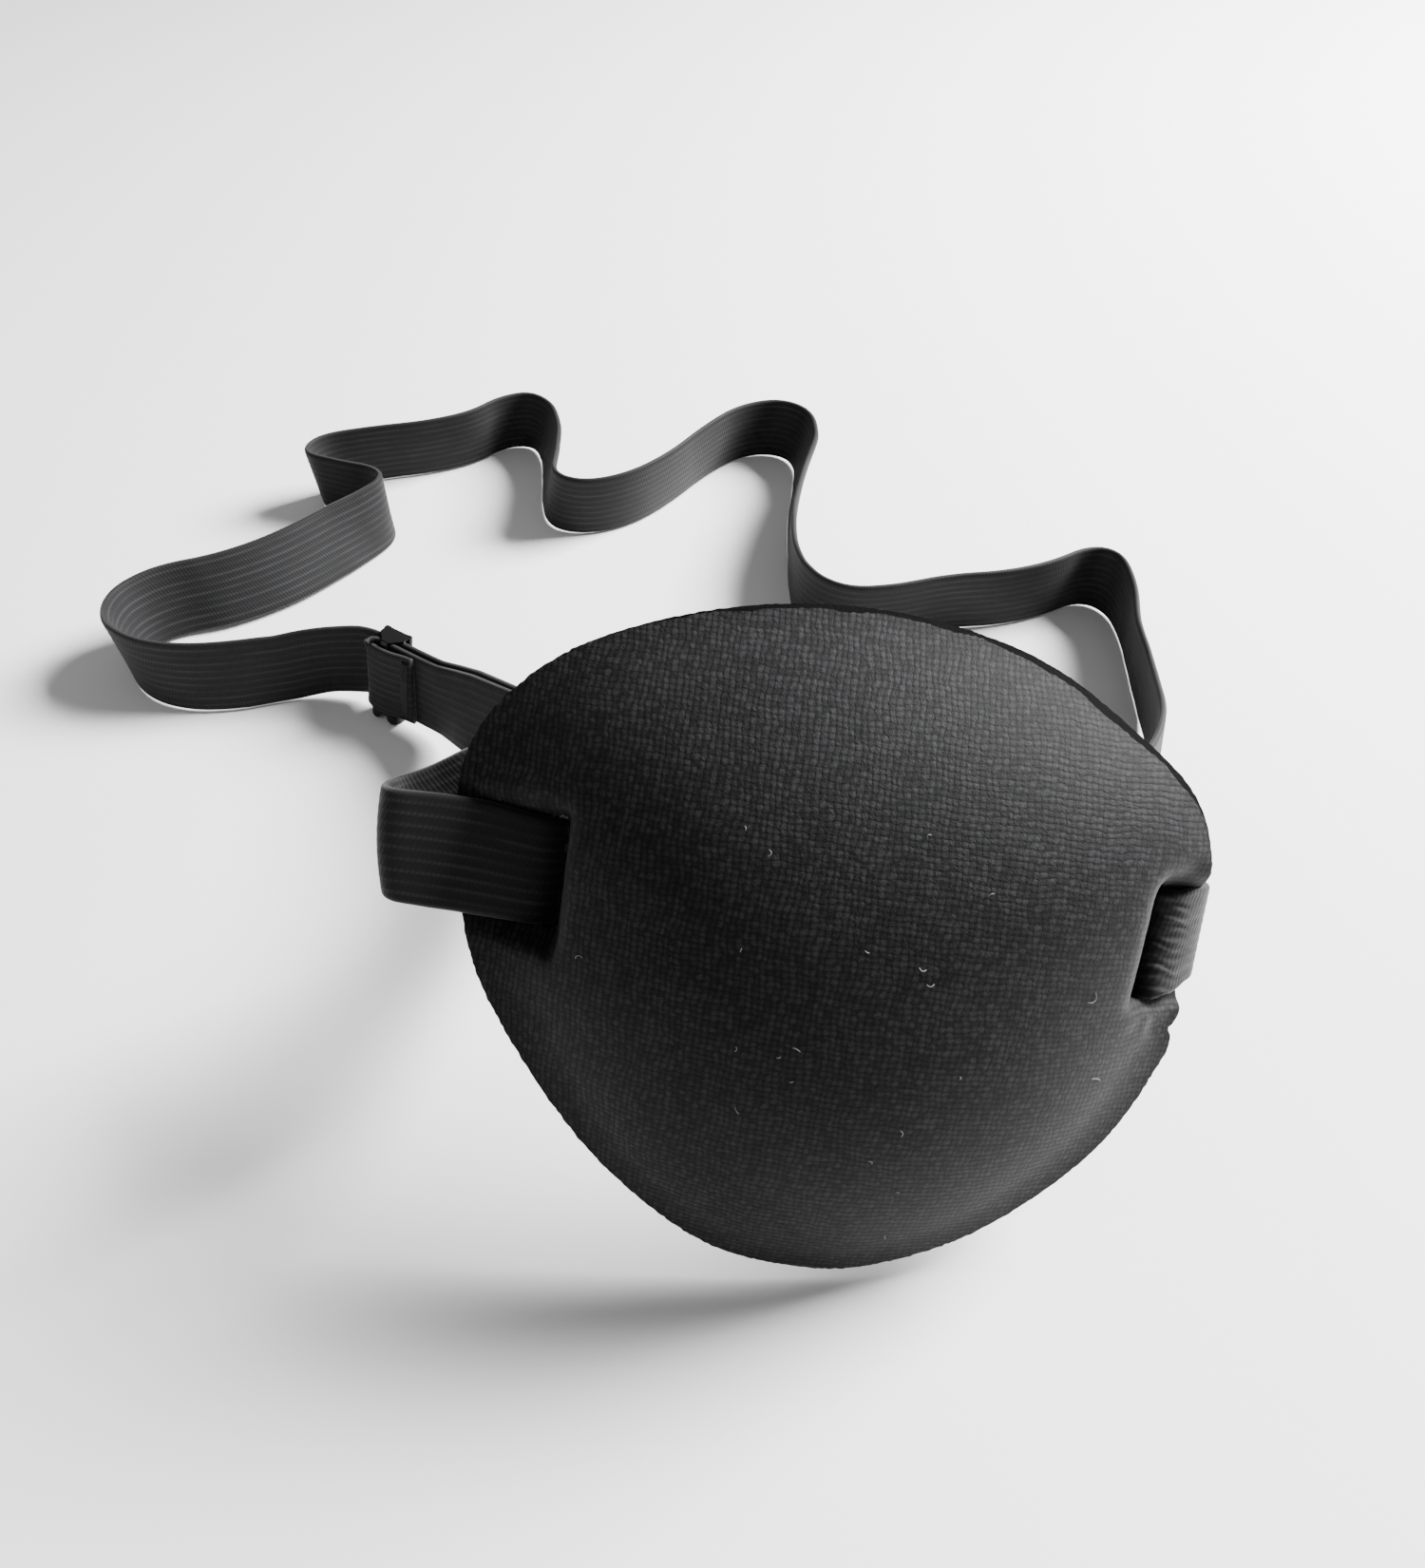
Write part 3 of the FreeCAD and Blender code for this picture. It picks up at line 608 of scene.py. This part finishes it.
def make_slider():
    """A small moulded ladder slider: two rails, an end bar behind the tape at each end, a bar in front."""
    vertices = []
    faces = []

    def block(outline, levels):
        """Stacked copies of an outline, drawn in a little at both ends to round the edges."""
        base = len(vertices)
        middle_x = sum(x for x, _ in outline) / len(outline)
        middle_y = sum(y for _, y in outline) / len(outline)
        for level, scale in levels:
            for x, y in outline:
                drawn_in = middle_x + (x - middle_x) * scale, middle_y + (y - middle_y) * scale
                vertices.append(at_slider(*drawn_in, level))
        faces.extend(ring_faces(base, len(outline), len(levels)))

    block(rail_outline(-6.3, 1.4), LOWER_RAIL)
    block(rail_outline(6.08, 0.0), UPPER_RAIL)
    for low, high, back, front in SLIDER_BARS:
        rounded = []
        for step in range(BAR_SIDES):
            turn = 2 * math.pi * step / BAR_SIDES
            wide = abs(math.cos(turn)) ** 0.6 * math.copysign(1, math.cos(turn))
            deep = abs(math.sin(turn)) ** 0.6 * math.copysign(1, math.sin(turn))
            along = (low + high) / 2 + (high - low) / 2 * wide
            rounded.append((along, (back + front) / 2 + (front - back) / 2 * deep))
        base = len(vertices)
        for across in BAR_ENDS:
            vertices.extend(at_slider(along, across, out) for along, out in rounded)
        faces.extend(ring_faces(base, BAR_SIDES, len(BAR_ENDS)))
    piece = new_object("ladder_slider", vertices, faces, PLASTIC)
    piece.data.set_sharp_from_angle(angle=math.radians(50))
    dress(piece, "slider", "slider_plastic", "slider")


make_slider()


def make_sewn_end():
    """The tape's other end: from behind the patch to the slider, round its front bar and sewn to itself."""
    far, farther = arm_points(SEWN_LAYER, ARM_CUT, 0.023)
    control = [far, farther]
    widths = [ARM_WIDTH, ARM_WIDTH]
    places = [(19.0, *sagging(19.0)), (11.0, *sagging(11.0)), (3.5, 0.0, 0.0)]
    places = [(along, across, out + 1.25) for along, across, out in places]
    places += [(0.5, 0, 1.20), (-2.2, 0, 1.10), (-3.0, 0, 1.85), (-2.2, 0, 2.55), (0.3, 0, 2.75), (2.8, 0, 2.48)]
    places += [(4.6, 0.2, 2.28), (6.2, 0.3, 2.28)]
    control.append((farther + at_slider(*places[0])) / 2)
    widths.append(leaning((0.22, 0.46)))
    for index, place in enumerate(places):
        control.append(at_slider(*place))
        widths.append(leaning((0.20, 0.42)) if index == 0 else UPWARD * (0.96 if index < 5 else 0.93))
    line = smooth_line(control, "sewn_line")
    piece, _ = tape_piece("sewn_end", line, carried_widths(line, control, widths), step=0.5)
    dress(piece, None, "elastic_tape", "strap_end_run", "strap_end_fold")
    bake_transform(piece)


make_sewn_end()


# ---------------------------------------------------------------- patch
RIM = (
    (1.5, -35.0), (10.0, -33.2), (20.5, -27.4), (31.0, -16.8), (37.0, -3.0), (38.4, 8.0), (35.3, 19.5),
    (26.5, 27.6), (14.0, 33.0), (-1.0, 35.0), (-16.0, 33.0), (-30.0, 27.2), (-38.6, 18.6), (-40.8, 8.5),
    (-37.8, -5.2), (-31.6, -15.2), (-21.5, -26.0), (-9.5, -33.6),
)
DOME_HEIGHT = 17.0
CENTRE = np.array([0.8, 0.5])
# How far out the dome reaches, as a share of the way to the rim, at each angle from the middle.
REACH_ANGLES = (0, 12, 22, 35, 50, 70, 90, 120, 145, 160, 175, 190, 205, 235, 270, 300, 325, 345)
REACH_SHARES = (0.98, 1.04, 1.14, 1.17, 1.12, 1.06, 1.03, 1.01, 0.98, 0.93, 0.89, 0.92, 0.96, 1.00, 1.01, 1.00,
                0.98, 0.97)
REACH_LINE = np.arange(360)
BLUR = np.exp(-((np.arange(-24, 25) / 7.0) ** 2))
REACH_SMOOTH = np.convolve(
    np.tile(np.interp(REACH_LINE, REACH_ANGLES, REACH_SHARES, period=360), 3), BLUR / BLUR.sum(), "same"
)[360:720]


def closed_line(points, count=24):
    """A smooth closed line through the points (Catmull-Rom)."""
    points = np.array(points, float)
    shares = np.linspace(0, 1, count, endpoint=False)[:, None]
    parts = []
    for index in range(len(points)):
        a, b, c, d = (points[(index + step) % len(points)] for step in (-1, 0, 1, 2))
        parts.append(0.5 * ((2 * b) + (c - a) * shares + (2 * a - 5 * b + 4 * c - d) * shares ** 2
                            + (3 * b - a - 3 * c + d) * shares ** 3))
    return np.concatenate(parts)


RIM_LINE = closed_line(RIM) - CENTRE
RIM_ANGLES = np.degrees(np.arctan2(RIM_LINE[:, 1], RIM_LINE[:, 0])) % 360
RIM_ORDER = np.argsort(RIM_ANGLES)
RIM_ANGLES = RIM_ANGLES[RIM_ORDER]
RIM_RADII = np.hypot(*RIM_LINE.T)[RIM_ORDER]


def bell(value, middle, width):
    """1 at the middle, easing to 0 on both sides."""
    return np.exp(-((value - middle) / width) ** 2)


def apart(angle, middle):
    """Degrees from one direction to another, from -180 to 180."""
    return (angle - middle + 180) % 360 - 180


def rim_radius(angle):
    """How far the rim is from the middle: the egg shape, drawn in where the photograph shows it, and notched."""
    radius = np.interp(angle, RIM_ANGLES, RIM_RADII, period=360)
    tape = 0.5 * (np.tanh((apart(angle, 8) + 10.0) / 1.0) - np.tanh((apart(angle, 8) - 8.5) / 1.0))
    below = 0.5 * (np.tanh((apart(angle, 0) + 8.0) / 1.5) - np.tanh((apart(angle, 0) - 4.0) / 1.5))
    notch = bell(apart(angle, 353.2), 0, 0.8)
    above = bell(apart(angle, 22), 0, 11) * (1 - tape)
    foot = bell(apart(angle, 263), 0, 28)
    shoulder = bell(apart(angle, 44), 0, 15)
    return radius - 1.6 * tape - 1.6 * above - 1.4 * shoulder - 0.8 * foot - 0.8 * below * (1 - tape) - 0.5 * notch


def dome_share(reach):
    """The dome's profile: full and round, then a soft fillet into the flat margin."""
    turn_in, power, fall = 0.88, 2.2, 0.9
    rest = 1 - turn_in ** power
    level = rest ** fall
    slope = fall * power * turn_in ** (power - 1) * rest ** (fall - 1)
    end = turn_in + 2 * level / slope
    inside = np.clip(1 - np.minimum(reach, turn_in) ** power, 0, 1) ** fall
    fillet = level * (np.clip(end - reach, 0, None) / (end - turn_in)) ** 2
    return np.where(reach < turn_in, inside, fillet)


def step_up(value, place, softness):
    """0 before the place and 1 after it."""
    return 0.5 + 0.5 * np.tanh((value - place) / softness)


PUCKER_MIDDLE = (32.2, -0.8)


def crown(x, y):
    """The cover's outer face above the rim's plane."""
    x = np.asarray(x, float)
    y = np.asarray(y, float)
    angle = np.degrees(np.arctan2(y - CENTRE[1], x - CENTRE[0])) % 360
    radius = np.hypot(x - CENTRE[0], y - CENTRE[1])
    share = radius / np.interp(angle, RIM_ANGLES, RIM_RADII, period=360)
    reach = share / np.interp(angle, REACH_LINE, REACH_SMOOTH, period=360)
    level = MARGIN + DOME_HEIGHT * dome_share(reach)
    # Where the tape lies the layers are pressed flat, from the slot out to the rim.
    right = step_up(x, 29.7, 1.0) * step_up(y, -1.0, 0.8) * step_up(-y, -12.0, 1.3)
    level = level * (1 - right) + (0.9 + 0.34 * np.clip(37.5 - x, 0, 7)) * right
    left = step_up(-x, 28.2, 0.45) * step_up(y, -3.2, 0.9) * step_up(-y, -10.6, 0.9)
    level = level * (1 - left) + 1.15 * left
    level -= 1.0 * bell(x, 33.0, 1.8) * bell(y, 13.0, 1.5)
    # Puckers fan out from the lower end of the right slot.
    around = np.arctan2(x - PUCKER_MIDDLE[0], -(y - PUCKER_MIDDLE[1]))
    away = np.hypot(x - PUCKER_MIDDLE[0], y - PUCKER_MIDDLE[1])
    below = np.clip(np.cos(around), 0, 1) ** 0.5
    level += 0.13 * np.cos(around * 6 + 0.8) * bell(away, 2.6, 1.8) * below
    level -= 0.6 * bell(x, 34.5, 2.6) * bell(y, -2.9, 1.8)
    return level


def facing(x, y):
    """The way the cover's outer face points."""
    step = 0.04
    slope_x = (crown(x + step, y) - crown(x - step, y)) / (2 * step)
    slope_y = (crown(x, y + step) - crown(x, y - step)) / (2 * step)
    normal = np.stack([-slope_x, -slope_y, np.ones_like(slope_x)], axis=-1)
    return normal / np.linalg.norm(normal, axis=-1, keepdims=True)


def foam_share(x, y):
    """How much of the foam's full thickness is left: all of it in the dome, a little in the margin."""
    level = crown(x, y) - MARGIN
    return np.clip(level / 6.0, 0, 1) ** 0.8


COVER = 0.45
LINING = 0.45
CORE_AT_MARGIN = 0.5
CORE_IN_DOME = 2.8
PATCH_MATRIX = np.array(PATCH_PLACE)


def depths(layer, x, y):
    """How far below the cover's outer face a layer's two faces are."""
    core = CORE_AT_MARGIN + (CORE_IN_DOME - CORE_AT_MARGIN) * foam_share(x, y)
    return {
        "cover": (0 * core, 0 * core + COVER),
        "foam": (0 * core + COVER, COVER + core),
        "lining": (COVER + core, COVER + core + LINING),
    }[layer]


def make_layer(name, layer, inset, ragged, around, rings, material):
    """One layer of the patch as a closed shell: its outer face, its inner face and the edge between them."""
    rng = np.random.default_rng(7)
    angles = np.arange(around) * 360 / around
    edge = rim_radius(angles) - inset(angles) + rng.normal(0, ragged, around)
    shares = (np.arange(1, rings + 1) / rings) ** 0.88
    radii = shares[:, None] * (rim_radius(angles) - inset(angles))[None, :]
    radii[-1] = edge
    x = CENTRE[0] + radii * np.cos(np.radians(angles))
    y = CENTRE[1] + radii * np.sin(np.radians(angles))
    x = np.concatenate([[CENTRE[0]], x.ravel()])
    y = np.concatenate([[CENTRE[1]], y.ravel()])
    outer = np.stack([x, y, crown(x, y)], axis=1)
    normals = facing(x, y)
    near, far = depths(layer, x, y)
    points = np.concatenate([outer - normals * near[:, None], outer - normals * far[:, None]])
    world = points * MM @ PATCH_MATRIX[:3, :3].T + PATCH_MATRIX[:3, 3]
    count = len(x)
    faces = []
    for column in range(around):
        after = (column + 1) % around
        faces.append((0, 1 + column, 1 + after))
        faces.append((count, count + 1 + after, count + 1 + column))
        for ring in range(rings - 1):
            a, b = 1 + ring * around + column, 1 + ring * around + after
            c, d = b + around, a + around
            faces.append((a, d, c, b))
            faces.append((count + b, count + c, count + d, count + a))
        a, b = 1 + (rings - 1) * around + column, 1 + (rings - 1) * around + after
        faces.append((a, count + a, count + b, b))
    return new_object(name, world, faces, material, [(px, py) for px, py, _ in points])


def slot_cutter(middle, level, width, length):
    """A long block with rounded corners that opens a slot through the layers."""
    half_width, half_length = width / 2, length / 2
    corner = 0.45 * width
    outline = []
    for sign_x, sign_y, first in ((1, 1, 0), (-1, 1, 90), (-1, -1, 180), (1, -1, 270)):
        for step in range(7):
            turn = math.radians(first + step * 15)
            outline.append((middle + sign_x * (half_width - corner) + corner * math.cos(turn),
                            level + sign_y * (half_length - corner) + corner * math.sin(turn)))
    vertices = [at_patch(x, y, out) for out in (-9.0, 9.0) for x, y in outline]
    count = len(outline)
    faces = [tuple(range(count))[::-1], tuple(range(count, 2 * count))]
    faces += [(i, (i + 1) % count, count + (i + 1) % count, count + i) for i in range(count)]
    return new_object("slot_cutter", vertices, faces, FOAM_DARK_AS_SHADE, [(0, 0)] * (2 * count))


def carve(pieces, cutters):
    """Cuts the slots into the pieces and removes the cutters."""
    for piece in pieces:
        for cutter in cutters:
            cut = piece.modifiers.new("slot", "BOOLEAN")
            cut.operation = "DIFFERENCE"
            cut.solver = "EXACT"
            cut.object = cutter
        bpy.context.view_layer.update()
        graph = bpy.context.evaluated_depsgraph_get()
        mesh = bpy.data.meshes.new_from_object(piece.evaluated_get(graph))
        piece.modifiers.clear()
        piece.data = mesh
        mesh.set_sharp_from_angle(angle=math.radians(55))
    for cutter in cutters:
        bpy.data.objects.remove(cutter)


def cover_inset(angles):
    """The cover stops short of the foam along the top and right of the rim, showing a band of the dark foam there as
    painted shade on the rim's edge.
    """
    shown = 0.5 * (np.tanh((apart(angles, 68) + 46) / 8) - np.tanh((apart(angles, 68) - 58) / 12))
    ragged = 0.10 * np.sin(np.radians(angles * 23)) + 0.07 * np.sin(np.radians(angles * 41 + 50))
    return 0.08 + (0.72 + 0.40 * bell(apart(angles, 52), 0, 16) + ragged) * shown


patch_cover = make_layer("patch_cover", "cover", cover_inset, 0.05, 600, 76, KNIT)
patch_foam = make_layer("patch_foam", "foam", lambda angles: 0 * angles, 0.03, 480, 60, FOAM_DARK_AS_SHADE)
patch_lining = make_layer("patch_lining", "lining", lambda angles: 0 * angles + 0.3, 0.03, 480, 60, LINING_CLOTH)
# Slots: middle across, middle up, width and length. They are narrower through the lining.
LEFT_OPENING = (LEFT_SLOT - 0.2, 3.6, 2.1, 11.9)
RIGHT_OPENING = (RIGHT_SLOT - 1.9, 5.5, 2.3, 12.2)
LEFT_LINING_OPENING = (LEFT_SLOT - 0.2, 4.0, 0.9, 11.2)
RIGHT_LINING_OPENING = (RIGHT_SLOT - 1.8, 5.2, 1.4, 11.2)
carve([patch_cover, patch_foam], [slot_cutter(*LEFT_OPENING), slot_cutter(*RIGHT_OPENING)])
carve([patch_lining], [slot_cutter(*LEFT_LINING_OPENING), slot_cutter(*RIGHT_LINING_OPENING)])
dress(patch_cover, "patch", "knit_cover", "outer_cover")
dress(patch_foam, "patch", "foam", "foam_core")
dress(patch_lining, "patch", "lining", "inner_lining")


# ---------------------------------------------------------------- threads and fibres
def tube(name, lines, radius, material, sides=8):
    """Round threads along short lines, as one mesh."""
    vertices = []
    faces = []
    for line in lines:
        line = np.array(line, float)
        tangents = np.gradient(line, axis=0)
        tangents /= np.linalg.norm(tangents, axis=1)[:, None]
        guide = np.array([0.31, 0.55, 0.78])
        base = len(vertices)
        for centre, tangent in zip(line, tangents):
            side = np.cross(tangent, guide)
            side /= np.linalg.norm(side)
            other = np.cross(tangent, side)
            for index in range(sides):
                turn = 2 * math.pi * index / sides
                vertices.append(centre + (side * math.cos(turn) + other * math.sin(turn)) * radius)
        for row in range(len(line) - 1):
            for index in range(sides):
                after = (index + 1) % sides
                a = base + row * sides
                faces.append((a + index, a + sides + index, a + sides + after, a + after))
        faces.append(tuple(base + index for index in range(sides)))
        faces.append(tuple(base + (len(line) - 1) * sides + index for index in range(sides))[::-1])
    return new_object(name, vertices, faces, material)


def zigzag(place, across_way, along_way, out_way, width, length, turns, lift):
    """Bar-tack thread: dense zigzag over a small area, each crossing slightly domed."""
    line = []
    for index in range(turns * 6 + 1):
        share = index / (turns * 6)
        phase = share * turns * 2
        swing = abs((phase % 2) - 1) * 2 - 1
        dome = lift * (1 - swing ** 4)
        line.append(place + across_way * (width / 2 * swing) + along_way * (length * (share - 0.5)) + out_way * dome)
    return line


def make_tacks():
    """The bar tacks: one on the sewn end over the slider, one behind the right margin."""
    rows = []
    for along in (4.7, 5.3):
        centre = at_slider(along, 0.2, 2.80)
        rows.append(zigzag(centre, UPWARD, SLIDE_WAY, OUTWARD, 0.0098, 0.0005, 26, 0.0001))
    piece = tube("slider_tack", rows, 0.00012, THREAD)
    dress(piece, "slider", "thread", "slider_bar_tack")
    rows = []
    for depth in (-8.2, -7.0):
        centre = at_patch(34.38, 4.9, depth)
        rows.append(zigzag(centre, PATCH_UP, PATCH_OUT, -PATCH_ACROSS, 0.0100, 0.0006, 26, 0.0002))
    piece = tube("right_tack", rows, 0.00016, THREAD)
    dress(piece, "patch", "thread", "right_bar_tack")


make_tacks()


def make_lint():
    """Stray pale fibres caught on the knit."""
    rng = np.random.default_rng(11)
    lines = []
    spots = [(24.0, 0.6, 1.5), (27.0, -8.2, 1.3), (-25.5, -2.5, 1.0), (-8.5, -14.0, 0.8), (8.9, -28.0, 0.8)]
    for _ in range(16):
        angle, reach = rng.uniform(0, 2 * math.pi), rng.uniform(0.1, 0.9)
        spots.append((33 * reach * math.cos(angle), 28 * reach * math.sin(angle), rng.uniform(0.3, 0.8)))
    for x, y, length in spots:
        turn, bend = rng.uniform(0, 2 * math.pi), rng.uniform(-1.5, 1.5)
        line = []
        for share in np.linspace(-0.5, 0.5, 7):
            heading = turn + bend * share
            px, py = x + length * share * math.cos(heading), y + length * share * math.sin(heading)
            lift = 0.10 + 0.12 * math.cos(share * math.pi)
            line.append(at_patch(px, py, float(crown(px, py)) + lift))
        lines.append(line)
    piece = tube("lint", lines, 0.000045, LINT, sides=5)
    dress(piece, "patch", "thread")


make_lint()


# ---------------------------------------------------------------- stage
def make_stage():
    """A plain pale table, one soft key light from the right and behind, and a weak fill."""
    bpy.ops.mesh.primitive_plane_add(size=30, location=(0, 0, 0))
    floor = bpy.context.object
    floor.name = "table_top"
    floor.data.materials.append(
        plain_material("pale_table", (0.74, 0.74, 0.74), (0.78, 0.78, 0.78), 0.8, 40, 0.00001, 0.0, 0.2)
    )
    scene.world = bpy.data.worlds.new("studio")
    scene.world.use_nodes = True
    background = scene.world.node_tree.nodes["Background"]
    background.inputs["Color"].default_value = (1, 1, 1, 1)
    background.inputs["Strength"].default_value = 0.33
    for name, place, size, power, aim in (
        ("key", (0.575, 0.32, 0.49), 0.36, 53.0, (0.0, 0.0, 0.03)),
        ("fill", (-0.3, -0.6, 0.9), 1.0, 1.0, (0, 0.02, 0.02)),
    ):
        light = bpy.data.lights.new(name, "AREA")
        light.size = size
        light.energy = power
        lamp = bpy.data.objects.new(name, light)
        scene.collection.objects.link(lamp)
        lamp.location = place
        lamp.rotation_euler = (Vector(aim) - Vector(place)).to_track_quat("-Z", "Y").to_euler()


make_stage()
